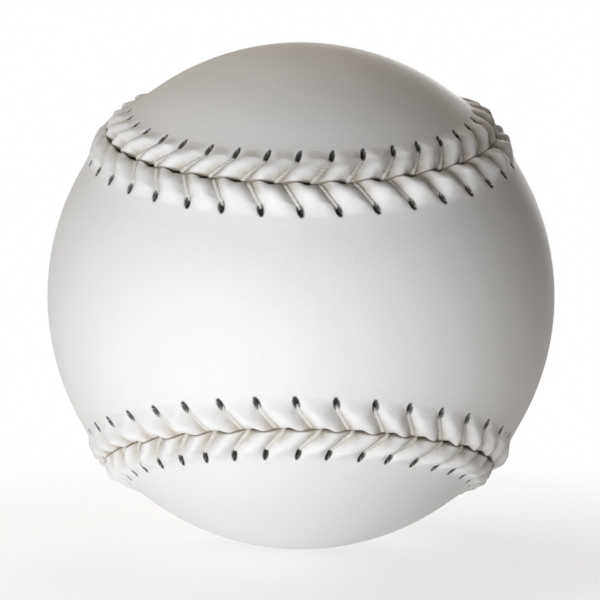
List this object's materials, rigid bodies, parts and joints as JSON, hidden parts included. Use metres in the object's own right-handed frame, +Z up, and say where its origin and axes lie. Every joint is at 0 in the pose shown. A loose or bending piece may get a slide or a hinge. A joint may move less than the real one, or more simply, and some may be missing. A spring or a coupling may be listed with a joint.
{
  "type": "softball",
  "caption": "White leather softball: two figure-eight cover panels laced over a cemented, coated, yarn-wound cork core with a raised curved seam.",
  "frame": {"origin": "centre of the ball", "axes": "+Z up, with the waist of the front cover panel facing -Y and its lobes wrapping round to +X and -X; the back panel's waist faces +Y and its lobes are at +Z and -Z"},
  "size_m": [0.097, 0.097, 0.097],
  "materials": {
    "cork": "granulated cork bonded with rubber, matte",
    "yarn": "wound cotton and polyester yarn, matte",
    "latex": "dried latex, dull sheen",
    "cement": "dried contact cement, tacky amber film",
    "cover_leather": "white coated leather with fine grain, satin",
    "waxed_thread": "white waxed twisted thread, low sheen"
  },
  "bodies": {
    "root": {"cork_core": "cork", "yarn_winding": "yarn", "latex_coat": "latex", "front_panel_cement": "cement", "back_panel_cement": "cement", "front_cover_panel": "cover_leather", "back_cover_panel": "cover_leather", "first_seam_thread": "waxed_thread", "second_seam_thread": "waxed_thread"}
  },
  "joints": []
}
